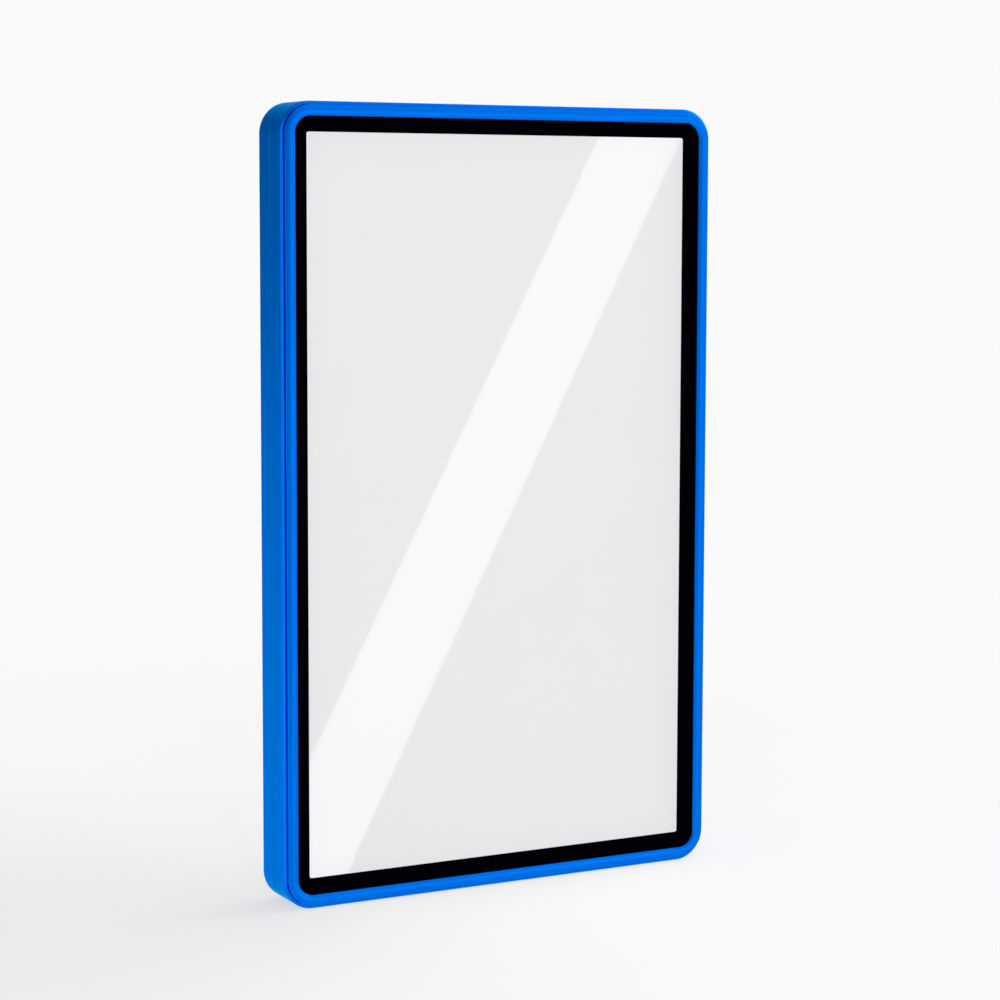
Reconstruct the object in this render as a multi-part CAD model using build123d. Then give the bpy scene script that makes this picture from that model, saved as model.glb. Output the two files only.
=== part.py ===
from build123d import *
import os

# Metal display case for one graded card in its sealed plastic holder.
# Two shells close face to face round the holder and magnets in the end walls hold them shut.
# Each shell carries a clear pane, and a raised bezel covers the pane's edge.
# X is the width, Y runs from the front face to the back, Z is up. All sizes are in millimetres.
# "Depth" is counted from a shell's own outer face inwards, "inset" from the case's outline.

# The plastic holder that the case is made for
slab_w = 83.0
slab_h = 133.4
slab_t = 7.6

# Room round the holder
cushion_t = 0.5         # soft strip on each wall of the well
slab_gap = 0.2          # between a strip and the holder
slab_play = 0.1         # between the holder and each printed border

# Walls round the well
side_wall = 2.3
end_wall = 5.3          # thicker, because the magnets sit in it
corner_r = 5.7          # outer corner seen from the front
well_r = 2.0            # corner of the well

# Pane, printed border and tape, from the outer face inwards
pane_recess = 0.9
pane_t = 0.8
film_t = 0.1
tape_t = 0.15
border_w = 2.8          # black band seen inside the bezel
window_r = 0.4          # corner of the clear window
pane_gap = 0.1          # round the pane's edge

# Bezel and the rim that surrounds it
rim_drop = 0.7          # the rim lies this far behind the bezel's face
rim_t = 0.45
rim_chamfer = 0.35
shadow_gap = 0.2        # open groove between rim and bezel
bezel_w = 1.95
bezel_leg = 0.75        # the part of the bezel that stands on the shell
bezel_depth = 1.3       # from the bezel's face to the foot of its leg
bezel_crown = 0.25      # rise of its rounded face

# Seam between the shells: a lip on the rear one enters a rebate in the front one
lip_t = 0.8
lip_h = 1.0
lip_gap = 0.2           # beside the lip
lip_end_gap = 0.15      # past its tip
lip_chamfer = 0.2
seam_chamfer = 0.15

# Magnets
magnet_d = 3.0
magnet_t = 2.0
magnet_gap = 0.05       # round the magnet in its pocket
magnet_sink = 0.1       # its face lies this far below the seam
magnet_margin = 8.5     # from the outermost magnet's middle to the case's side
magnets_per_end = 4

# Soft strips
cushion_end = 7.0       # from a strip's end to the corner of the well
cushion_edge = 0.25     # from a strip's long edges to the ends of the wall that it is stuck to

# Nail notch across the seam, on the right-hand side
notch_r = 20.0
notch_depth = 0.8
notch_t = 1.2

# Sizes that follow from the ones above
well_w = slab_w + 2 * (slab_gap + cushion_t)
well_h = slab_h + 2 * (slab_gap + cushion_t)
case_w = well_w + 2 * side_wall
case_h = well_h + 2 * end_wall
pane_back = pane_recess + pane_t
film_back = pane_back + film_t
ledge = film_back + tape_t
half_depth = film_back + slab_play + slab_t / 2
case_d = 2 * half_depth
bezel_inset = rim_t + shadow_gap
seat_inset = bezel_inset + bezel_leg
pane_inset = seat_inset + pane_gap
bezel_inner = bezel_inset + bezel_w
window_inset = bezel_inner + border_w


def facing(depth):
    # Plane across the case at a depth below the front face, with its normal towards the back
    return Plane(origin=(0, depth - half_depth, case_h / 2), x_dir=(1, 0, 0), z_dir=(0, 1, 0))


def block(width, height, radius, start, end):
    return extrude(facing(start) * RectangleRounded(width, height, radius), amount=end - start)


def inset_block(inset, start, end):
    # Follows the case's outline at one distance all round
    return block(case_w - 2 * inset, case_h - 2 * inset, corner_r - inset, start, end)


def well_block(grow, start, end):
    return block(well_w + 2 * grow, well_h + 2 * grow, well_r + grow, start, end)


def window_block(start, end):
    return block(case_w - 2 * window_inset, case_h - 2 * window_inset, window_r, start, end)


def outer_edges(shape, depth):
    # Edges of the outermost loop at one depth
    level = depth - half_depth
    flat = [f for f in shape.faces() if abs(f.center().Y - level) < 1e-6 and abs(f.normal_at().Y) > 0.99]
    return max(flat, key=lambda f: f.area).outer_wire().edges()


def magnet_places():
    # Evenly spread along the middle of the metal left outside the lip
    wall = end_wall - lip_t - lip_gap
    last = case_w / 2 - magnet_margin
    pitch = 2 * last / (magnets_per_end - 1)
    for end, height in {"top": case_h - wall / 2, "bottom": wall / 2}.items():
        for i in range(magnets_per_end):
            yield f"{end}_{i + 1}", i * pitch - last, height


def post(across, height, radius, start, end):
    # Round bar along the depth
    return extrude(facing(start) * Pos(across, case_h / 2 - height) * Circle(radius), amount=end - start)


def shell_ring():
    # One shell up to the seam, without lip or rebate
    ring = inset_block(0, rim_drop, half_depth)
    ring = chamfer(outer_edges(ring, rim_drop), rim_chamfer)
    ring = chamfer(outer_edges(ring, half_depth), seam_chamfer)
    ring -= inset_block(rim_t, rim_drop, bezel_depth)
    ring -= inset_block(seat_inset, bezel_depth, ledge)
    ring -= well_block(0, ledge, half_depth)
    for _, across, height in magnet_places():
        floor = half_depth - magnet_sink - magnet_t
        ring -= post(across, height, magnet_d / 2 + magnet_gap, floor, half_depth)
    notch = post(case_w / 2 - notch_depth + notch_r, case_h / 2, notch_r, half_depth - notch_t / 2, half_depth)
    return ring - notch


def front_shell():
    rebate = half_depth - lip_h - lip_end_gap
    return shell_ring() - well_block(lip_t + lip_gap, rebate, half_depth)


def rear_shell():
    # Drawn facing forwards like the front one, and turned round by the caller
    tip = half_depth + lip_h
    lip = well_block(lip_t, half_depth, tip)
    lip = chamfer(outer_edges(lip, tip), lip_chamfer)
    return shell_ring() + (lip - well_block(0, half_depth, tip))


def bezel():
    # Crowned ring: an L-shaped section led round the case's outline
    path = (facing(0) * RectangleRounded(
        case_w - 2 * bezel_inset, case_h - 2 * bezel_inset, corner_r - bezel_inset
    )).face().outer_wire()
    start = path.position_at(0)
    inward = path.tangent_at(0).cross(Vector(0, 1, 0))
    if inward.dot(Vector(0, 0, case_h / 2) - start) < 0:
        inward = -inward
    shoulder = (0, bezel_crown)
    lines = ThreePointArc(shoulder, (bezel_w / 2, 0), (bezel_w, bezel_crown))
    lines += Polyline(
        (bezel_w, bezel_crown),
        (bezel_w, pane_recess),
        (bezel_leg, pane_recess),
        (bezel_leg, bezel_depth),
        (0, bezel_depth),
        shoulder,
    )
    across = Plane(origin=start, x_dir=inward, z_dir=inward.cross(Vector(0, 1, 0)))
    return sweep(across * make_face(lines), path=path)


def pane():
    return inset_block(pane_inset, pane_recess, pane_back)


def printed_border():
    return inset_block(pane_inset, pane_back, film_back) - window_block(pane_back, film_back)


def tape():
    return inset_block(pane_inset, film_back, ledge) - well_block(0, film_back, ledge)


def magnet(across, height):
    top = half_depth - magnet_sink
    return post(across, height, magnet_d / 2, top - magnet_t, top)


def side_cushion(side):
    start = ledge + cushion_edge
    end = half_depth + lip_h - cushion_edge
    strip = Box(cushion_t, end - start, well_h - 2 * cushion_end)
    middle = (start + end) / 2 - half_depth
    return Pos(side * (well_w - cushion_t) / 2, middle, case_h / 2) * strip


def end_cushion(side):
    start = ledge + cushion_edge
    end = half_depth + lip_h - cushion_edge
    strip = Box(well_w - 2 * cushion_end, end - start, cushion_t)
    middle = (start + end) / 2 - half_depth
    return Pos(0, middle, case_h / 2 + side * (well_h - cushion_t) / 2) * strip


def half_pieces(shell):
    # The pieces that both shells carry, drawn facing forwards
    pieces = {
        "shell": shell,
        "bezel": bezel(),
        "pane": pane(),
        "border": printed_border(),
        "tape": tape(),
    }
    for name, across, height in magnet_places():
        pieces[f"magnet_{name}"] = magnet(across, height)
    return pieces


def turned(shape):
    # A piece of the rear half faces backwards
    return mirror(shape, about=Plane.XZ)


nodes = {f"front_{name}": shape for name, shape in half_pieces(front_shell()).items()}
for name, shape in half_pieces(rear_shell()).items():
    nodes[f"rear_{name}"] = turned(shape)
nodes["cushion_left"] = turned(side_cushion(-1))
nodes["cushion_right"] = turned(side_cushion(1))
nodes["cushion_top"] = turned(end_cushion(1))
nodes["cushion_bottom"] = turned(end_cushion(-1))

os.makedirs("parts", exist_ok=True)
for name, shape in nodes.items():
    export_step(shape, f"parts/{name}.step")
print(f"case {case_w:.2f} wide, {case_d:.2f} deep, {case_h:.2f} high, {len(nodes)} pieces")
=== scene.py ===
import math
import bmesh
import bpy
from mathutils import Matrix, Vector


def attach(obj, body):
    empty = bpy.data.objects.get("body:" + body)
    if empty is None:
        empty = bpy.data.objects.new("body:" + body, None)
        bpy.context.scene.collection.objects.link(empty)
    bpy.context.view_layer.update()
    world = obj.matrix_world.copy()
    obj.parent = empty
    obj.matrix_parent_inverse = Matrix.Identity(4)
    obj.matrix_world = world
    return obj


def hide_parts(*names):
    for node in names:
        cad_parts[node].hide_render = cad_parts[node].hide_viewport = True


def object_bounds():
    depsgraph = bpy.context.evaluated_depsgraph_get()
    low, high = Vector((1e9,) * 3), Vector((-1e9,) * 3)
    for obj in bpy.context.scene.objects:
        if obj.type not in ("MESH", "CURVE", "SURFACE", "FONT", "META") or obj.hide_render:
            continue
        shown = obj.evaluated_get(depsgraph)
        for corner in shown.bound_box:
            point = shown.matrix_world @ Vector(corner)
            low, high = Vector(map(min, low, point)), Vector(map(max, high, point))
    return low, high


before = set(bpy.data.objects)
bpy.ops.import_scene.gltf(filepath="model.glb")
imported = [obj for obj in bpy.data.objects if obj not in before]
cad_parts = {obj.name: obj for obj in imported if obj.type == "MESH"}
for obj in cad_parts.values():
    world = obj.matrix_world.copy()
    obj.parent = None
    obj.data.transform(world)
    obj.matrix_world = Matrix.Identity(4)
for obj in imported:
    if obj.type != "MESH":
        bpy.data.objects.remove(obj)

mm = 0.001
cadLow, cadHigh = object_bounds()
scene = bpy.context.scene
halves = {"front": 1, "rear": -1}  # the way from a half's face to the seam, along Y

# Sizes in mm. Depths count from a half's own face inwards, insets from the case's outline.
caseSizes = {
    "width": (cadHigh.x - cadLow.x) / mm,
    "height": (cadHigh.z - cadLow.z) / mm,
    "halfDepth": (cadHigh.y - cadLow.y) / mm / 2,
    "cornerRadius": 5.7,
    "wellSide": 2.3,  # wall beside the well
    "wellEnd": 5.3,  # wall above and below the well
    "wellRadius": 2.0,
    "seam": 5.7,  # depth of the face where the halves meet
    "cornerSteps": 16,
}
middle = Vector((0, 0, caseSizes["height"] / 2)) * mm


def newObject(name, data):
    made = bpy.data.objects.new(name, data)
    scene.collection.objects.link(made)
    return made


class Wire:
    # One socket of a node tree. Python's operators on it add Math nodes.
    def __init__(self, bench, socket):
        self.bench, self.socket = bench, socket

    def __add__(self, other):
        return self.bench.maths("ADD", self, other)

    def __radd__(self, other):
        return self.bench.maths("ADD", other, self)

    def __sub__(self, other):
        return self.bench.maths("SUBTRACT", self, other)

    def __rsub__(self, other):
        return self.bench.maths("SUBTRACT", other, self)

    def __mul__(self, other):
        return self.bench.maths("MULTIPLY", self, other)

    def __rmul__(self, other):
        return self.bench.maths("MULTIPLY", other, self)

    def __truediv__(self, other):
        return self.bench.maths("DIVIDE", self, other)

    def __rtruediv__(self, other):
        return self.bench.maths("DIVIDE", other, self)

    def __mod__(self, other):
        return self.bench.maths("MODULO", self, other)

    def __rmod__(self, other):
        return self.bench.maths("MODULO", other, self)

    def other(self, name):  # another output of the same node
        return Wire(self.bench, self.socket.node.outputs[name])


class Bench:
    # Adds nodes to one tree
    def __init__(self, tree):
        self.tree = tree

    def node(self, kind, settings=None, inputs=None, output=0):
        made = self.tree.nodes.new(kind)
        for name, value in (settings or {}).items():
            if name == "stops":
                for stop, (place, level) in zip(made.color_ramp.elements, value):
                    stop.position, stop.color = place, (level, level, level, 1)
            else:
                setattr(made, name, value)
        for key, value in (inputs or {}).items():
            for item in value if isinstance(value, list) else [value]:
                if isinstance(item, Wire):
                    self.tree.links.new(item.socket, made.inputs[key])
                else:
                    made.inputs[key].default_value = item
        return Wire(self, made.outputs[output]) if len(made.outputs) else None

    def maths(self, operation, *values):
        return self.node("ShaderNodeMath", {"operation": operation}, dict(enumerate(values)))


def newGeometryTree(name, inputs):
    tree = bpy.data.node_groups.new(name, "GeometryNodeTree")
    tree.interface.new_socket("Geometry", in_out="INPUT", socket_type="NodeSocketGeometry")
    for label, kind in inputs.items():
        tree.interface.new_socket(label, in_out="INPUT", socket_type="NodeSocket" + kind)
    tree.interface.new_socket("Geometry", in_out="OUTPUT", socket_type="NodeSocketGeometry")
    bench = Bench(tree)
    return bench, bench.node("NodeGroupInput")


meshChoices = {
    "wearAndHighlightAngle": 0.2,  # radians between two faces, past which their edge is marked for wear and, on the blue metal, a painted highlight
    "faceWeight": 60,  # how strongly large faces steer the shading
    "weld": 0.002,  # mm
}


def endTree(bench, start, shape):
    # Marks the edges for the wear, and the blue metal's painted edge highlight, in the finish, smooths
    # the faces and gives the material
    angle = bench.node("GeometryNodeInputMeshEdgeAngle")
    mark = bench.maths("GREATER_THAN", angle, meshChoices["wearAndHighlightAngle"])
    kept = bench.node("GeometryNodeStoreNamedAttribute", {"data_type": "FLOAT", "domain": "POINT"},
                      {"Geometry": shape, "Name": "edge", "Value": mark})
    smooth = bench.node("GeometryNodeSetShadeSmooth", None, {"Geometry": kept})
    plain = bench.node("GeometryNodeRealizeInstances", None, {"Geometry": smooth})
    done = bench.node("GeometryNodeSetMaterial", None,
                      {"Geometry": plain, "Material": start.other("Material")})
    bench.node("NodeGroupOutput", None, {"Geometry": done})
    return bench.tree


def addTree(piece, tree, values):
    modifier = piece.modifiers.new(tree.name, "NODES")
    modifier.node_group = tree
    for item in tree.interface.items_tree:
        if item.in_out == "INPUT" and item.name in values:
            modifier[item.identifier] = values[item.name]


def finished(source, name):
    # Turns an object with modifiers into a plain mesh object
    even = source.modifiers.new("even normals", "WEIGHTED_NORMAL")
    even.mode, even.weight, even.keep_sharp = "FACE_AREA", meshChoices["faceWeight"], False
    bpy.context.view_layer.update()
    graph = bpy.context.evaluated_depsgraph_get()
    mesh = bpy.data.meshes.new_from_object(source.evaluated_get(graph), depsgraph=graph)
    bpy.data.objects.remove(source)
    mesh.name = name
    return newObject(name, mesh)


# The photograph's view, fitted to the case's straight edges
cameraChoices = {
    "place": (-227.417, -430.5013, 126.3893),  # mm
    "yaw": 28.0592,  # degrees from +Y towards +X
    "pitch": 5.4935,  # degrees downwards
    "roll": 0.1545,
    "focal": 94.0667, "sensor": 36,  # mm
    "shift": (-0.0005, -0.0393),
    "nearest": 0.01,  # metres
}


def addCamera(choices):
    yaw, pitch, roll = (math.radians(choices[k]) for k in ("yaw", "pitch", "roll"))
    forward = Vector((math.sin(yaw) * math.cos(pitch), math.cos(yaw) * math.cos(pitch), -math.sin(pitch)))
    right = Vector((math.cos(yaw), -math.sin(yaw), 0))
    up = right.cross(forward)
    level, tilt = math.cos(roll), math.sin(roll)
    axes = (right * level + up * tilt, up * level - right * tilt, -forward)
    turned = Matrix(axes).transposed().to_4x4()
    turned.translation = Vector(choices["place"]) * mm
    camera = newObject("camera", bpy.data.cameras.new("camera"))
    camera.matrix_world = turned
    camera.data.sensor_width = choices["sensor"]
    camera.data.lens = choices["focal"]
    camera.data.shift_x, camera.data.shift_y = choices["shift"]
    camera.data.clip_start = choices["nearest"]
    scene.camera = camera


addCamera(cameraChoices)
print("camera set")


def newMaterial(name):
    material = bpy.data.materials.new(name)
    material.use_nodes = True
    material.node_tree.nodes.clear()
    return material, Bench(material.node_tree)


def endMaterial(bench, inputs):
    # Numbers and colours that are the same all over go straight on the shader
    shader = bench.node("ShaderNodeBsdfPrincipled", None, inputs)
    bench.node("ShaderNodeOutputMaterial", None, {"Surface": shader})


def noise(bench, place, size, detail=2, rough=0.5):
    # Level from 0 to 1, with features of about this size in mm
    return bench.node("ShaderNodeTexNoise", {"noise_dimensions": "3D"},
                      {"Vector": place, "Scale": 1 / (size * mm), "Detail": detail, "Roughness": rough})


def cells(bench, place, size):
    # Distance from the middle of the nearest cell, for cells of about this size in mm
    return bench.node("ShaderNodeTexVoronoi", {"feature": "F1"},
                      {"Vector": place, "Scale": 1 / (size * mm)})


def between(level, ends):
    # From the first number to the second while the level goes from 0 to 1
    return ends[0] + level * (ends[1] - ends[0])


def mixColour(bench, factor, a, b):
    return bench.node("ShaderNodeMix", {"data_type": "RGBA"}, {0: factor, 6: a, 7: b}, 2)


def bump(bench, height, distance):
    return bench.node("ShaderNodeBump", None, {"Height": height, "Distance": distance * mm})


def objectPlace(bench):
    return bench.node("ShaderNodeTexCoord").other("Object")


def softStep(bench, value, begin, end, low=0.0, high=1.0):
    # Goes smoothly from low to high while the value goes from begin to end
    return bench.node("ShaderNodeMapRange", {"interpolation_type": "SMOOTHSTEP"},
                      {"Value": value, "From Min": begin, "From Max": end, "To Min": low, "To Max": high})


def vectorMaths(bench, operation, *values):
    return bench.node("ShaderNodeVectorMath", {"operation": operation}, dict(enumerate(values)))


def outlineDistance(bench, place):
    # How far a point lies outside the case's outline, seen from the front; negative inside
    radius = caseSizes["cornerRadius"] * mm
    corner = Vector((caseSizes["width"] * mm / 2 - radius, 0, caseSizes["height"] * mm / 2 - radius))
    positive = vectorMaths(bench, "ABSOLUTE", vectorMaths(bench, "SUBTRACT", place, middle))
    past = vectorMaths(bench, "MAXIMUM", vectorMaths(bench, "SUBTRACT", positive, corner), (0, 0, 0))
    flat = vectorMaths(bench, "MULTIPLY", past, (1, 0, 1))
    return vectorMaths(bench, "LENGTH", flat).other("Value") - radius


blueChoices = {
    "colour": (0.0, 0.185, 0.88, 1),
    "deep": (0.0, 0.165, 0.83, 1),
    "edge": (0.004, 0.26, 0.95, 1),
    "wearAndHighlight": 0.4,  # how much of the edge colour shows: partly wear, partly a painted highlight along the edges
    "seamShade": (0.0, 0.15, 0.45, 1),  # painted shade along the seam where the halves meet
    "seamShadeShare": 0.7,
    "seamShadeReach": (0.6, 0.1),  # mm from the seam, where the painted shade begins and is full
    "seamShadeSide": (-0.35, -0.2),  # mm from the outline, the same; keeps it on the outside
    "grazing": (0.0, 0.8, 0.98, 1),  # tint of the shine seen along the surface
    "roughness": (0.27, 0.3),
    "grainRoughness": 0.05,  # added on the grain's heights
    "edgePolish": 0.05,  # taken off at worn edges
    "cloud": 14,  # mm, uneven dye
    "patch": 0.9,  # mm, shallow waves of the surface
    "patchShare": 0.5,  # their height beside the grain's
    "grain": 0.16,  # mm, from the bead blasting
    "grainHeight": 0.0035,  # mm
}


def blueAnodised(choices):
    material, bench = newMaterial("blue anodised")
    place = objectPlace(bench)
    cloud = noise(bench, place, choices["cloud"], 3)
    grain = noise(bench, place, choices["grain"], 2, 0.6)
    patch = noise(bench, place, choices["patch"])
    edge = bench.node("ShaderNodeAttribute", {"attribute_name": "edge"}).other("Fac")
    colour = mixColour(bench, cloud, choices["deep"], choices["colour"])
    # Lighter edges: partly wear, partly a painted highlight along every marked edge
    colour = mixColour(bench, edge * choices["wearAndHighlight"], colour, choices["edge"])
    # Painted shade: darkens the shell's outside beside the seam where the halves meet
    offSeam = bench.maths("ABSOLUTE", bench.node("ShaderNodeSeparateXYZ", None, {0: place}).other("Y"))
    seam = softStep(bench, offSeam, *(reach * mm for reach in choices["seamShadeReach"]))
    offOutline = outlineDistance(bench, place)
    outside = softStep(bench, offOutline, *(side * mm for side in choices["seamShadeSide"]))
    colour = mixColour(bench, seam * outside * choices["seamShadeShare"], colour, choices["seamShade"])
    rough = between(cloud, choices["roughness"])
    rough = rough + grain * choices["grainRoughness"] - edge * choices["edgePolish"]
    relief = bump(bench, grain + patch * choices["patchShare"], choices["grainHeight"])
    endMaterial(bench, {"Base Color": colour, "Metallic": 1.0, "Roughness": rough,
                        "Specular Tint": choices["grazing"], "Normal": relief})
    return material


nickelChoices = {
    "colour": (0.72, 0.7, 0.66, 1),
    "dull": (0.55, 0.53, 0.49, 1),
    "cloudShare": 0.6, "edgeShare": 0.2,  # how much of the dull colour clouds and edges bring
    "roughness": (0.16, 0.28),
    "cloud": 1.2,  # mm
    "peel": 0.25,  # mm, ripple of the plating
    "peelHeight": 0.004,  # mm
}


def nickelPlate(choices):
    material, bench = newMaterial("nickel plate")
    place = objectPlace(bench)
    cloud = noise(bench, place, choices["cloud"], 3)
    peel = noise(bench, place, choices["peel"])
    edge = bench.node("ShaderNodeAttribute", {"attribute_name": "edge"}).other("Fac")
    dulled = cloud * choices["cloudShare"] + edge * choices["edgeShare"]
    colour = mixColour(bench, dulled, choices["colour"], choices["dull"])
    rough = between(cloud, choices["roughness"])
    endMaterial(bench, {"Base Color": colour, "Metallic": 1.0, "Roughness": rough,
                        "Normal": bump(bench, peel, choices["peelHeight"])})
    return material


paneChoices = {
    "tint": (0.004, 0.005, 0.006, 1),
    "clearAlpha": (0.006, 0.012),  # share of the light that the clear pane stops
    "clearRoughness": (0.015, 0.035),
    "mist": (0.79, 0.79, 0.79, 1),
    "mistCloud": (0.78, 0.782, 0.786, 1),
    "mistRoughness": (0.012, 0.024),
    "wipe": 9,  # mm, traces of wiping
    "cloud": 22,  # mm
}


def clearPane(choices):
    # Glass over the print. It lets nearly everything through and has no shine, as in the photograph.
    material, bench = newMaterial("clear pane")
    place = objectPlace(bench)
    wipe = noise(bench, place, choices["wipe"])
    rough, alpha = between(wipe, choices["clearRoughness"]), between(wipe, choices["clearAlpha"])
    endMaterial(bench, {"Base Color": choices["tint"], "Roughness": rough, "Alpha": alpha,
                        "Specular IOR Level": 0.0})
    return material


def mistedPane(choices):
    # Back of the window, hazy, so that the empty inside doesn't show
    material, bench = newMaterial("misted window")
    place = objectPlace(bench)
    cloud = noise(bench, place, choices["cloud"])
    colour = mixColour(bench, cloud, choices["mist"], choices["mistCloud"])
    rough = between(cloud, choices["mistRoughness"])
    endMaterial(bench, {"Base Color": colour, "Roughness": rough, "IOR": 1.5})
    return material


printChoices = {
    "colour": (0.0004, 0.0, 0.0015, 1),
    "speck": (0.0012, 0.0008, 0.003, 1),
    "dotShare": 0.5, "cloudShare": 0.3,  # how much of the speck colour dots and clouds bring
    "roughness": (0.55, 0.67),
    "dots": 0.22,  # mm, mesh of the printing screen
    "dotHeight": 0.003,  # mm
    "cloud": 5,  # mm
}


def blackPrint(choices):
    # Screen-printed film: a dense black with a hardly visible mesh of dots
    material, bench = newMaterial("black print")
    place = objectPlace(bench)
    dots = cells(bench, place, choices["dots"])
    cloud = noise(bench, place, choices["cloud"])
    specks = dots * choices["dotShare"] + cloud * choices["cloudShare"]
    colour = mixColour(bench, specks, choices["colour"], choices["speck"])
    rough = between(cloud, choices["roughness"])
    endMaterial(bench, {"Base Color": colour, "Roughness": rough, "Specular IOR Level": 0.0,
                        "Normal": bump(bench, dots, choices["dotHeight"])})
    return material


tapeChoices = {
    "colour": (0.8, 0.79, 0.74, 1),
    "fibreColour": (0.66, 0.64, 0.58, 1),
    "fibreShare": 0.7, "cloudShare": 0.2,  # how much of it fibres and clouds bring
    "roughness": (0.55, 0.85),
    "cloud": 2.5,  # mm
    "fibre": 0.3,  # mm
    "fibreHeight": 0.02,  # mm
}


def tapeFinish(choices):
    material, bench = newMaterial("adhesive tape")
    place = objectPlace(bench)
    cloud = noise(bench, place, choices["cloud"], 3)
    fibre = noise(bench, place, choices["fibre"], 4, 0.7)
    fibres = fibre * choices["fibreShare"] + cloud * choices["cloudShare"]
    colour = mixColour(bench, fibres, choices["colour"], choices["fibreColour"])
    endMaterial(bench, {"Base Color": colour, "Roughness": between(fibre, choices["roughness"]),
                        "Normal": bump(bench, fibre, choices["fibreHeight"])})
    return material


foamChoices = {
    "colour": (0.022, 0.022, 0.025, 1),
    "pore": (0.006, 0.006, 0.007, 1),
    "poreShare": 0.8, "cloudShare": 0.2,  # how much of the pore colour pores and clouds bring
    "roughness": (0.82, 0.94),
    "pores": 0.28,  # mm
    "poreEdge": (0.12, 0.38),  # where a pore's edge begins and ends, from the middle of its cell
    "poreDepth": 0.05,  # mm
    "cloudDepth": 0.4,  # share of the pores' depth
    "cloud": 3,  # mm
}


def foamFinish(choices):
    # Closed-cell foam with small open pores on its skin
    material, bench = newMaterial("soft foam")
    place = objectPlace(bench)
    skin = cells(bench, place, choices["pores"])
    cloud = noise(bench, place, choices["cloud"])
    stops = zip(choices["poreEdge"], (1.0, 0.0))
    pore = bench.node("ShaderNodeValToRGB", {"stops": stops}, {"Fac": skin})
    darkened = pore * choices["poreShare"] + cloud * choices["cloudShare"]
    colour = mixColour(bench, darkened, choices["colour"], choices["pore"])
    relief = bump(bench, skin + cloud * choices["cloudDepth"], choices["poreDepth"])
    endMaterial(bench, {"Base Color": colour, "Roughness": between(cloud, choices["roughness"]),
                        "Normal": relief})
    return material


blue = blueAnodised(blueChoices)
nickel = nickelPlate(nickelChoices)
clear = clearPane(paneChoices)
misted = mistedPane(paneChoices)
black = blackPrint(printChoices)
tape = tapeFinish(tapeChoices)
foam = foamFinish(foamChoices)
print("materials made")


def lines(family, inset):
    # How far a line of the case lies from its sides and from its ends, and its corner radius
    c = caseSizes
    if family == "well":
        return c["wellSide"] + inset, c["wellEnd"] + inset, c["wellRadius"] - inset
    if family == "round":  # a lathe-turned form, where the inset counts from the axis
        return -inset, -inset, inset
    return inset, inset, c["cornerRadius"] - inset


softChoices = {
    "steps": 3,  # flat steps in the arc of a softened edge
    "support": 0.12,  # mm from the arc to the line that keeps the face beside it flat
    "share": 0.42,  # most of a short face that one arc may take
    "bridge": 1.2,  # mm, taken as the length of a face that leads from the well to the outline
}


def softened(corners):
    # Gives each corner (family, inset, depth, radius) its arc, and a support point on both sides of it
    c = softChoices
    points = []
    for i, (family, inset, depth, radius) in enumerate(corners):
        here = Vector((inset, depth))
        if not radius:
            points.append((family, inset, depth))
            continue
        ways = []
        for other in (corners[i - 1], corners[(i + 1) % len(corners)]):
            if other[0] == family:
                way = Vector((other[1], other[2])) - here
            else:
                way = Vector((c["bridge"] if other[0] == "well" else -c["bridge"], 0))
            ways.append(way)
        half = ways[0].angle(ways[1]) / 2
        tangent = min(radius / math.tan(half), c["share"] * ways[0].length, c["share"] * ways[1].length)
        radius = tangent * math.tan(half)
        back, ahead = ways[0].normalized(), ways[1].normalized()
        centre = here + (back + ahead).normalized() * radius / math.sin(half)
        begin, end = here + back * tangent - centre, here + ahead * tangent - centre
        swing = begin.angle_signed(end)
        reach = tangent + c["support"]
        if ways[0].length > 2 * reach:
            points.append((family, *(here + back * reach)))
        for step in range(c["steps"] + 1):
            spoke = begin.copy()
            spoke.rotate(Matrix.Rotation(-swing * step / c["steps"], 2))
            points.append((family, *(centre + spoke)))
        if ways[1].length > 2 * reach:
            points.append((family, *(here + ahead * reach)))
    return points


def sectionMesh(name, points):
    # Position holds the distances from side and end, and the depth; "turn" holds the corner radius
    placed = [(*lines(family, inset), depth) for family, inset, depth in points]
    area = sum(placed[i - 1][0] * p[3] - p[0] * placed[i - 1][3] for i, p in enumerate(placed))
    if area > 0:
        placed.reverse()
    mesh = bpy.data.meshes.new(name)
    mesh.from_pydata([(side * mm, end * mm, depth * mm) for side, end, _, depth in placed], [], [])
    mesh.attributes.new("turn", "FLOAT", "POINT").data.foreach_set("value", [p[2] * mm for p in placed])
    return mesh


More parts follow.
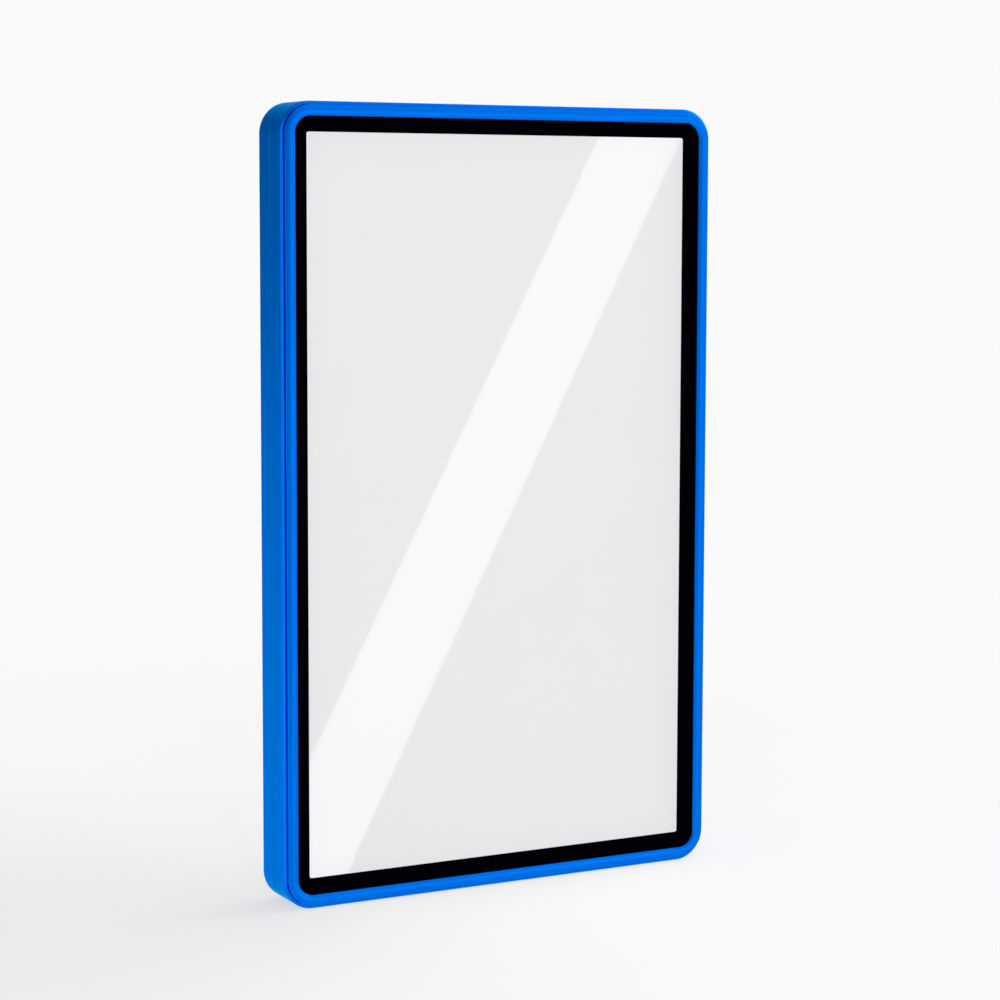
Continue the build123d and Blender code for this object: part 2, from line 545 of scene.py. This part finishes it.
def ringTree():
    # Leads a section round a rectangle with round corners, or round an axis
    bench, start = newGeometryTree("section led round", {
        "Width": "Float", "Height": "Float", "Half Depth": "Float", "Way": "Float", "Corner Steps": "Int",
        "Closed": "Int", "Centre": "Vector", "Material": "Material"})
    section = start.other("Geometry")
    steps = start.other("Corner Steps")
    count = bench.node("GeometryNodeAttributeDomainSize", {"component": "MESH"}, {"Geometry": section})
    across = count + start.other("Closed")
    corners = (steps + 1) * 4
    grid = bench.node("GeometryNodeMeshGrid", None,
                      {"Size X": 1.0, "Size Y": 1.0, "Vertices X": corners + 1, "Vertices Y": across})
    nudge = 0.25  # keeps whole numbers clear of rounding
    index = bench.node("GeometryNodeInputIndex") + nudge
    around = bench.maths("FLOOR", index / across) % corners
    along = bench.maths("FLOOR", index % across) % count
    place = bench.node("GeometryNodeSampleIndex", {"data_type": "FLOAT_VECTOR", "domain": "POINT"},
                       {"Geometry": section, "Value": bench.node("GeometryNodeInputPosition"),
                        "Index": along})
    turnName = bench.node("GeometryNodeInputNamedAttribute", {"data_type": "FLOAT"}, {"Name": "turn"})
    turn = bench.node("GeometryNodeSampleIndex", {"data_type": "FLOAT", "domain": "POINT"},
                      {"Geometry": section, "Value": turnName, "Index": along})
    parts = bench.node("ShaderNodeSeparateXYZ", None, {0: place})
    side, end, depth = parts, parts.other("Y"), parts.other("Z")
    corner = bench.maths("FLOOR", (around + nudge) / (steps + 1))
    angle = (corner + (around - corner * (steps + 1)) / steps) * (math.pi / 2)
    quarter = (corner + 0.5) * (math.pi / 2)
    signX = bench.maths("SIGN", bench.maths("COSINE", quarter))
    signZ = bench.maths("SIGN", bench.maths("SINE", quarter))
    x = signX * (start.other("Width") / 2 - side - turn) + turn * bench.maths("COSINE", angle)
    z = signZ * (start.other("Height") / 2 - end - turn) + turn * bench.maths("SINE", angle)
    y = (depth - start.other("Half Depth")) * start.other("Way")
    flat = bench.node("ShaderNodeCombineXYZ", None, {"X": x, "Y": y, "Z": z})
    spot = vectorMaths(bench, "ADD", flat, start.other("Centre"))
    moved = bench.node("GeometryNodeSetPosition", None, {"Geometry": grid, "Position": spot})
    whole = bench.node("GeometryNodeMergeByDistance", None,
                       {"Geometry": moved, "Distance": meshChoices["weld"] * mm})
    isFront = bench.maths("GREATER_THAN", start.other("Way"), 0.0)
    outward = bench.node("GeometryNodeFlipFaces", None, {"Mesh": whole, "Selection": isFront})
    return endTree(bench, start, outward)


ledRound = ringTree()


def ringSource(name, points, material, way, closed=True, size=None, centre=None, steps=None):
    width, height = size or (caseSizes["width"], caseSizes["height"])
    source = newObject(name, sectionMesh(name, points))
    addTree(source, ledRound, {
        "Width": width * mm, "Height": height * mm, "Half Depth": caseSizes["halfDepth"] * mm,
        "Way": float(way), "Corner Steps": steps or caseSizes["cornerSteps"], "Closed": int(closed),
        "Centre": middle if centre is None else centre, "Material": material})
    return source


magnetChoices = {
    "radius": 1.5,
    "back": 3.6, "face": 5.6,  # depths of its two ends; the face lies just below the seam
    "rounding": 0.18,
    "count": 4,
    "spread": 36.0,  # from the middle to the outermost one
    "edgeHeight": 2.15,  # from the case's lower or upper side to the row
    "gap": 0.05,  # round the magnet in its pocket
    "mouth": 0.12,  # chamfer at the pocket's mouth
    "turnSteps": 8,  # for each quarter turn
}


def magnetRows(bench, start, shape):
    # Stands one shape at every magnet's place
    rows = []
    for level in ("Low", "High"):
        height = start.other(level)
        ends = [bench.node("ShaderNodeCombineXYZ", None, {"X": start.other("Spread") * sign, "Z": height})
                for sign in (-1.0, 1.0)]
        spots = {"Count": start.other("Count"), "Start Location": ends[0], "Offset": ends[1]}
        rows.append(bench.node("GeometryNodeMeshLine", {"mode": "END_POINTS"}, spots))
    joined = bench.node("GeometryNodeJoinGeometry", None, {"Geometry": rows})
    stood = bench.node("GeometryNodeInstanceOnPoints", None, {"Points": joined, "Instance": shape})
    return bench.node("GeometryNodeRealizeInstances", None, {"Geometry": stood})


def magnetTree():
    bench, start = newGeometryTree("rows of magnets", {
        "Count": "Int", "Spread": "Float", "Low": "Float", "High": "Float", "Material": "Material"})
    return endTree(bench, start, magnetRows(bench, start, start.other("Geometry")))


def shellTree():
    # Drills the pockets and cuts the nail notch
    bench, start = newGeometryTree("pockets and notch", {
        "Count": "Int", "Spread": "Float", "Low": "Float", "High": "Float",
        "Pocket": "Object", "Notch": "Object", "Material": "Material"})
    cutters = [bench.node("GeometryNodeObjectInfo", None, {"Object": start.other(name)}).other("Geometry")
               for name in ("Pocket", "Notch")]
    drilled = bench.node("GeometryNodeMeshBoolean", {"operation": "DIFFERENCE", "solver": "EXACT"},
                         {"Mesh 1": start.other("Geometry"),
                          "Mesh 2": [magnetRows(bench, start, cutters[0]), cutters[1]]})
    return endTree(bench, start, drilled)


rowsOfMagnets = magnetTree()
drilledShell = shellTree()
rowValues = {
    "Count": magnetChoices["count"],
    "Spread": magnetChoices["spread"] * mm,
    "Low": magnetChoices["edgeHeight"] * mm,
    "High": (caseSizes["height"] - magnetChoices["edgeHeight"]) * mm,
}


def latheSource(name, points, material, way, centre=None, steps=magnetChoices["turnSteps"]):
    # A round form whose axis runs along Y
    return ringSource(name, points, material, way, False, (0, 0), centre or Vector(), steps)


def addMagnets(half, way):
    c = magnetChoices
    profile = [("round", 0.0, c["back"], 0), ("round", c["radius"], c["back"], c["rounding"]),
               ("round", c["radius"], c["face"], c["rounding"]), ("round", 0.0, c["face"], 0)]
    source = latheSource(f"{half}Magnets", softened(profile), nickel, way)
    addTree(source, rowsOfMagnets, {**rowValues, "Material": nickel})
    piece = finished(source, f"{half}Magnets")
    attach(piece, f"{half}_half")
    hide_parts(*[f"{half}_magnet_{end}_{i}" for end in ("top", "bottom") for i in range(1, 5)])


shellChoices = {
    "radii": {"rim": 0.09, "fine": 0.05, "inside": 0.06},  # of the edges
    "rimDrop": 0.7,  # depth of the rim below the bezel's face
    "rimChamfer": 0.35,
    "rimWidth": 0.45,
    "grooveFloor": 0.78,  # depth of the groove between rim and bezel
    "grooveSide": 0.64,  # inset of the groove's inner side
    "bezelSeat": 1.3,  # depth
    "paneSide": 1.4,  # inset of the wall round the pane
    "ledge": 1.95,  # depth of the floor under pane, print and tape
    "seamChamfer": 0.15,
    "rebateWidth": 1.0, "rebateDepth": 1.15,  # in the front shell
    "lipWidth": 0.8, "lipHeight": 1.0, "lipChamfer": 0.2,  # on the rear shell
    "notchRadius": 20.0, "notchDepth": 0.8,  # nail notch on the right-hand side
    "notchWidth": 0.6,  # in each shell
    "notchSteps": 96,
    "past": 0.6,  # how far the cutters reach beyond the seam
}


def shellCorners(half):
    # The shell's section, from the rim over the outside to the seam and back along the well
    c, seam = shellChoices, caseSizes["seam"]
    outside = [("outline", c["rimChamfer"], c["rimDrop"], "rim"),
               ("outline", 0.0, c["rimDrop"] + c["rimChamfer"], "rim"),
               ("outline", 0.0, seam - c["seamChamfer"], "fine"),
               ("outline", c["seamChamfer"], seam, "fine")]
    if half == "front":
        width, step = c["rebateWidth"], seam - c["rebateDepth"]
        meeting = [("well", -width, seam), ("well", -width, step), ("well", 0.0, step)]
    else:
        tip, width = seam + c["lipHeight"], c["lipWidth"]
        meeting = [("well", -width, seam), ("well", -width, tip - c["lipChamfer"]),
                   ("well", c["lipChamfer"] - width, tip), ("well", 0.0, tip)]
    seat = [("well", 0.0, c["ledge"]), ("outline", c["paneSide"], c["ledge"]),
            ("outline", c["paneSide"], c["bezelSeat"])]
    groove = [("outline", c["grooveSide"], c["bezelSeat"], "fine"),
              ("outline", c["grooveSide"], c["grooveFloor"], "fine"),
              ("outline", c["rimWidth"], c["grooveFloor"], "inside"),
              ("outline", c["rimWidth"], c["rimDrop"], "fine")]
    named = outside + [(*corner, "inside") for corner in meeting + seat] + groove
    return [(family, inset, depth, c["radii"][edge]) for family, inset, depth, edge in named]


def pocketCutter(way):
    # As deep as its magnet, with a chamfered mouth
    m, past = magnetChoices, shellChoices["past"]
    bore, mouth = m["radius"] + m["gap"], caseSizes["halfDepth"] - m["mouth"]
    wide, far = bore + m["mouth"] + past, caseSizes["halfDepth"] + past
    profile = [("round", 0.0, m["back"]), ("round", bore, m["back"]), ("round", bore, mouth),
               ("round", wide, far), ("round", 0.0, far)]
    return latheSource("pocket", profile, blue, way)


def notchCutter(way):
    c = shellChoices
    near, far = caseSizes["seam"] - c["notchWidth"], caseSizes["halfDepth"] + c["past"]
    disc = [("round", 0.0, near), ("round", c["notchRadius"], near), ("round", c["notchRadius"], far),
            ("round", 0.0, far)]
    across = caseSizes["width"] / 2 - c["notchDepth"] + c["notchRadius"]
    return latheSource("notch", disc, blue, way, Vector((across * mm, 0, middle.z)), c["notchSteps"])


def addShell(half, way):
    pocket, notch = pocketCutter(way), notchCutter(way)
    source = ringSource(f"{half}Shell", softened(shellCorners(half)), blue, way)
    addTree(source, drilledShell, {**rowValues, "Pocket": pocket, "Notch": notch, "Material": blue})
    piece = finished(source, f"{half}Shell")
    for cutter in (pocket, notch):
        bpy.data.objects.remove(cutter)
    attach(piece, f"{half}_half")
    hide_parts(f"{half}_shell")


bezelChoices = {
    "inset": 0.65,
    "width": 1.95,
    "crown": 0.25,  # rise of its rounded face
    "leg": 0.75,  # width of the part that stands on the shell
    "paneFace": 0.9, "foot": 1.3,  # depths
    "edge": 0.07, "shoulder": 0.2,  # radii
    "crownSteps": 10,
}


def addBezel(half, way):
    c = bezelChoices
    bow = ((c["width"] / 2) ** 2 + c["crown"] ** 2) / (2 * c["crown"])
    corners = []
    for step in range(c["crownSteps"] + 1):
        across = c["width"] * step / c["crownSteps"]
        drop = bow - math.sqrt(bow ** 2 - (across - c["width"] / 2) ** 2)
        radius = {0: c["shoulder"], c["crownSteps"]: c["edge"]}.get(step, 0)
        corners.append(("outline", c["inset"] + across, drop, radius))
    underside = [(c["width"], c["paneFace"]), (c["leg"], c["paneFace"]), (c["leg"], c["foot"])]
    for across, depth in underside + [(0.0, c["foot"])]:
        corners.append(("outline", c["inset"] + across, depth, c["edge"]))
    piece = finished(ringSource(f"{half}Bezel", softened(corners), blue, way), f"{half}Bezel")
    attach(piece, f"{half}_half")
    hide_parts(f"{half}_bezel")


paneSizes = {
    "inset": 1.5,
    "front": 0.9, "back": 1.69,  # depths
    "arris": 0.12,
    "windowInset": 5.4, "windowRadius": 0.4,
    "cornerSteps": 10,
}


def outlineLoop(mesh, inset, radius, depth, way):
    # Vertices along a rounded rectangle, at one depth
    steps = paneSizes["cornerSteps"]
    y = (depth - caseSizes["halfDepth"]) * way
    vertices = []
    for corner, (signX, signZ) in enumerate(((1, 1), (-1, 1), (-1, -1), (1, -1))):
        for step in range(steps + 1):
            angle = (corner + step / steps) * math.pi / 2
            x = signX * (caseSizes["width"] / 2 - inset - radius) + radius * math.cos(angle)
            z = signZ * (caseSizes["height"] / 2 - inset - radius) + radius * math.sin(angle)
            spot = (x * mm, y * mm, z * mm + middle.z)
            vertices.append(mesh.verts.new(spot))
    return vertices


def addPane(half, way):
    c = paneSizes
    shape = bmesh.new()
    radius = caseSizes["cornerRadius"]
    arris = c["inset"] + c["arris"]
    loops = [outlineLoop(shape, *values, way) for values in (
        (c["windowInset"], c["windowRadius"], c["back"]),
        (arris, radius - arris, c["back"]),
        (c["inset"], radius - c["inset"], c["back"] - c["arris"]),
        (c["inset"], radius - c["inset"], c["front"] + c["arris"]),
        (arris, radius - arris, c["front"]),
    )]
    for near, far in zip(loops, loops[1:]):
        for i in range(len(near)):
            shape.faces.new((near[i - 1], near[i], far[i], far[i - 1]))
    window = shape.faces.new(loops[0])
    shape.faces.new(loops[-1])
    window.material_index = 1
    bmesh.ops.recalc_face_normals(shape, faces=shape.faces)
    mesh = bpy.data.meshes.new(f"{half}Pane")
    shape.to_mesh(mesh)
    shape.free()
    mesh.materials.append(clear)
    mesh.materials.append(misted)
    piece = newObject(f"{half}Pane", mesh)
    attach(piece, f"{half}_half")
    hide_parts(f"{half}_pane")


stripChoices = {
    "thickness": 0.5,
    "low": 2.2, "high": 6.45,  # depths of the two long edges, counted from the back
    "sideLength": 120.8, "endLength": 70.4,
    "crown": 0.12,  # share of the thickness by which its long edges lie lower
    "edge": 0.2, "endEdge": 0.32,  # mm over which its sides and ends rise
    "lengthSteps": 72, "widthSteps": 14,
}


def addStrip(name, node, wall, along, into, length):
    # A crowned strip that lies on a wall of the well: wall is the middle of its glued face
    c = stripChoices
    width = c["high"] - c["low"]
    backwards = Vector((0, 1, 0))
    outwards = backwards.cross(along).dot(into) > 0
    shape = bmesh.new()

    def level(distance, reach):  # rises from the glued face like a soft quarter circle
        part = min(distance / reach, 1.0)
        return math.sqrt(max(0.0, 1 - (1 - part) ** 2))

    rows = []
    for i in range(c["lengthSteps"] + 1):
        u = 0.5 - 0.5 * math.cos(math.pi * i / c["lengthSteps"])
        row = []
        for j in range(c["widthSteps"] + 1):
            v = 0.5 - 0.5 * math.cos(math.pi * j / c["widthSteps"])
            side = min(v, 1 - v) * width
            end = min(u, 1 - u) * length
            bow = 1 - c["crown"] * (2 * v - 1) ** 2
            rise = c["thickness"] * level(side, c["edge"]) * level(end, c["endEdge"]) * bow
            spot = wall + along * (u - 0.5) * length * mm + backwards * (v - 0.5) * width * mm
            row.append(shape.verts.new(spot + into * rise * mm))
        rows.append(row)
    for a, b in zip(rows, rows[1:]):
        for j in range(c["widthSteps"]):
            corners = (a[j], a[j + 1], b[j + 1], b[j])
            shape.faces.new(corners if outwards else corners[::-1]).smooth = True
    there, back = [row[0] for row in rows], [row[-1] for row in reversed(rows[:-1])]
    rim = there + rows[-1][1:] + back + list(reversed(rows[0][1:-1]))
    shape.faces.new(rim if outwards else rim[::-1])
    mesh = bpy.data.meshes.new(name)
    shape.to_mesh(mesh)
    shape.free()
    mesh.materials.append(foam)
    piece = newObject(name, mesh)
    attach(piece, "rear_half")
    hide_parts(node)


def addStrips():
    c = stripChoices
    depth = caseSizes["halfDepth"] - (c["low"] + c["high"]) / 2
    side = caseSizes["width"] / 2 - caseSizes["wellSide"]
    end = caseSizes["height"] / 2 - caseSizes["wellEnd"]
    alongX, alongZ = Vector((1, 0, 0)), Vector((0, 0, 1))
    for name, sign in (("left", -1), ("right", 1)):
        wall = Vector((sign * side, depth, 0)) * mm + middle
        addStrip(f"{name}Strip", f"cushion_{name}", wall, alongZ, alongX * -sign, c["sideLength"])
    for name, sign in (("bottom", -1), ("top", 1)):
        wall = Vector((0, depth, sign * end)) * mm + middle
        addStrip(f"{name}Strip", f"cushion_{name}", wall, alongX, alongZ * -sign, c["endLength"])


for half, way in halves.items():
    addShell(half, way)
    addBezel(half, way)
    addPane(half, way)
    addMagnets(half, way)
    for node, material in ((f"{half}_border", black), (f"{half}_tape", tape)):
        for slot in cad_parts[node].material_slots:
            slot.material = material
    print(half, "half dressed")
addStrips()
print("soft strips laid")


def flatMesh(name, corners):
    mesh = bpy.data.meshes.new(name)
    mesh.from_pydata([Vector(corner) * mm for corner in corners], [], [range(len(corners))])
    piece = newObject(name, mesh)
    return piece


floorChoices = {
    "half": 900,  # mm
    "colour": 0.3,
    "own": 0.645,  # level that takes no shadow
    "duskPlace": (-0.11, 0.01, 0), "duskReach": 0.15, "dusk": 0.08,  # softly shaded spot, in metres
    "fade": (0.14, 0.34),  # metres from the case, between which the floor runs out
}


def addFloor(c):
    corners = ((-1, -1), (1, -1), (1, 1), (-1, 1))
    floor = flatMesh("floor", [(x * c["half"], y * c["half"], 0) for x, y in corners])
    material, bench = newMaterial("pale floor")
    place = objectPlace(bench)
    away = vectorMaths(bench, "LENGTH", place).other("Value")
    fade = softStep(bench, away, *c["fade"])
    off = vectorMaths(bench, "DISTANCE", place, c["duskPlace"]).other("Value")
    dusk = softStep(bench, off, 0.0, c["duskReach"], c["dusk"], 0.0)
    level = c["colour"]
    matt = bench.node("ShaderNodeBsdfDiffuse", None, {"Color": (level, level, level, 1)})
    own = bench.node("ShaderNodeEmission", None, {"Color": (1, 1, 1, 1), "Strength": c["own"] - dusk})
    lit = bench.node("ShaderNodeAddShader", None, {0: matt, 1: own})
    gone = bench.node("ShaderNodeBsdfTransparent")
    mixed = bench.node("ShaderNodeMixShader", None, {0: fade, 1: lit, 2: gone})
    bench.node("ShaderNodeOutputMaterial", None, {"Surface": mixed})
    floor.data.materials.append(material)
    floor.visible_glossy = False


bandChoices = {
    "place": (452.5, -887.5, -40.4),  # the strip's middle; lengths in mm
    "heading": 27.8,  # degrees from +X towards +Y, the way its short edges run
    "lean": 6.3,  # degrees from upright, towards the front
    "height": 460.7,
    "slant": 210.4,  # how much further along the heading its upper edge lies
    "topWidth": 47.2, "bottomWidth": 51.0,
    "level": 3.95,
}


def addBand(c):
    # Long strip lamp, seen only as the slanting band that the window mirrors
    heading, lean = math.radians(c["heading"]), math.radians(c["lean"])
    across = Vector((math.cos(heading), math.sin(heading), 0))
    up = Vector((math.sin(heading) * math.sin(lean), -math.cos(heading) * math.sin(lean), math.cos(lean)))
    corners = []
    for end, side in ((1, -1), (1, 1), (-1, 1), (-1, -1)):
        width = c["topWidth"] if end > 0 else c["bottomWidth"]
        aside = (end * c["slant"] + side * width) / 2
        corners.append(Vector(c["place"]) + up * end * c["height"] / 2 + across * aside)
    band = flatMesh("bandLamp", corners)
    material, bench = newMaterial("strip lamp")
    light = bench.node("ShaderNodeEmission", None, {"Color": (1, 1, 1, 1), "Strength": c["level"]})
    bench.node("ShaderNodeOutputMaterial", None, {"Surface": light})
    material.cycles.emission_sampling = "NONE"
    band.data.materials.append(material)
    band.visible_camera = band.visible_diffuse = band.visible_transmission = band.visible_shadow = False


worldChoices = {
    "background": 0.956,  # level that the camera sees behind the case
    "brightWay": (0.93, -0.1, 0.25),  # the room is brightest on this side
    "brightReach": (-0.5, 0.9),  # cosines from that way, between which it rises from dim to bright
    "dim": 0.28, "bright": 0.97,
    "leftWay": (-0.93, -0.37, 0.1),  # a smaller bright patch lights the left rim
    "leftReach": (0.8, 0.97),
    "left": 0.5,
    "horizon": (0.06, -0.2),  # heights between which the room turns into the pale ground
    "below": 0.86,
}


def addWorld(c):
    world = bpy.data.worlds.new("studio")
    scene.world = world
    world.use_nodes = True
    world.node_tree.nodes.clear()
    bench = Bench(world.node_tree)
    way = bench.node("ShaderNodeTexCoord").other("Generated")
    towards = vectorMaths(bench, "DOT_PRODUCT", way, Vector(c["brightWay"]).normalized()).other("Value")
    room = softStep(bench, towards, *c["brightReach"], c["dim"], c["bright"])
    leftwards = vectorMaths(bench, "DOT_PRODUCT", way, Vector(c["leftWay"]).normalized()).other("Value")
    patch = softStep(bench, leftwards, *c["leftReach"], 0.0, c["left"])
    height = bench.node("ShaderNodeSeparateXYZ", None, {0: way}).other("Z")
    low = softStep(bench, height, *c["horizon"])
    camera = bench.node("ShaderNodeLightPath").other("Is Camera Ray")
    level = room * (1 - low) + low * c["below"] + patch
    level = level * (1 - camera) + camera * c["background"]
    light = bench.node("ShaderNodeBackground", None, {"Color": (1, 1, 1, 1), "Strength": level})
    bench.node("ShaderNodeOutputWorld", None, {"Surface": light})


lampChoices = {  # place in metres, width, height and watts
    "key": ((0.97, 0.05, 0.75), 0.7, 0.7, 4.0),  # the only one that shows in the reflections
    "side": ((1.05, -0.15, 0.5), 1.4, 0.7, 3.0),
    "fill": ((-0.72, -1.36, 0.75), 1.2, 1.2, 9.2),
}


def addLamps(choices):
    for name, (place, width, height, power) in choices.items():
        light = bpy.data.lights.new(name, "AREA")
        light.shape = "RECTANGLE"
        light.size, light.size_y, light.energy = width, height, power
        lamp = newObject(name, light)
        lamp.location = place
        lamp.rotation_euler = (middle - Vector(place)).to_track_quat("-Z", "Y").to_euler()
        lamp.visible_glossy = name == "key"


addFloor(floorChoices)
addBand(bandChoices)
addWorld(worldChoices)
addLamps(lampChoices)
scene.view_settings.view_transform = "Standard"
print("stage lit")
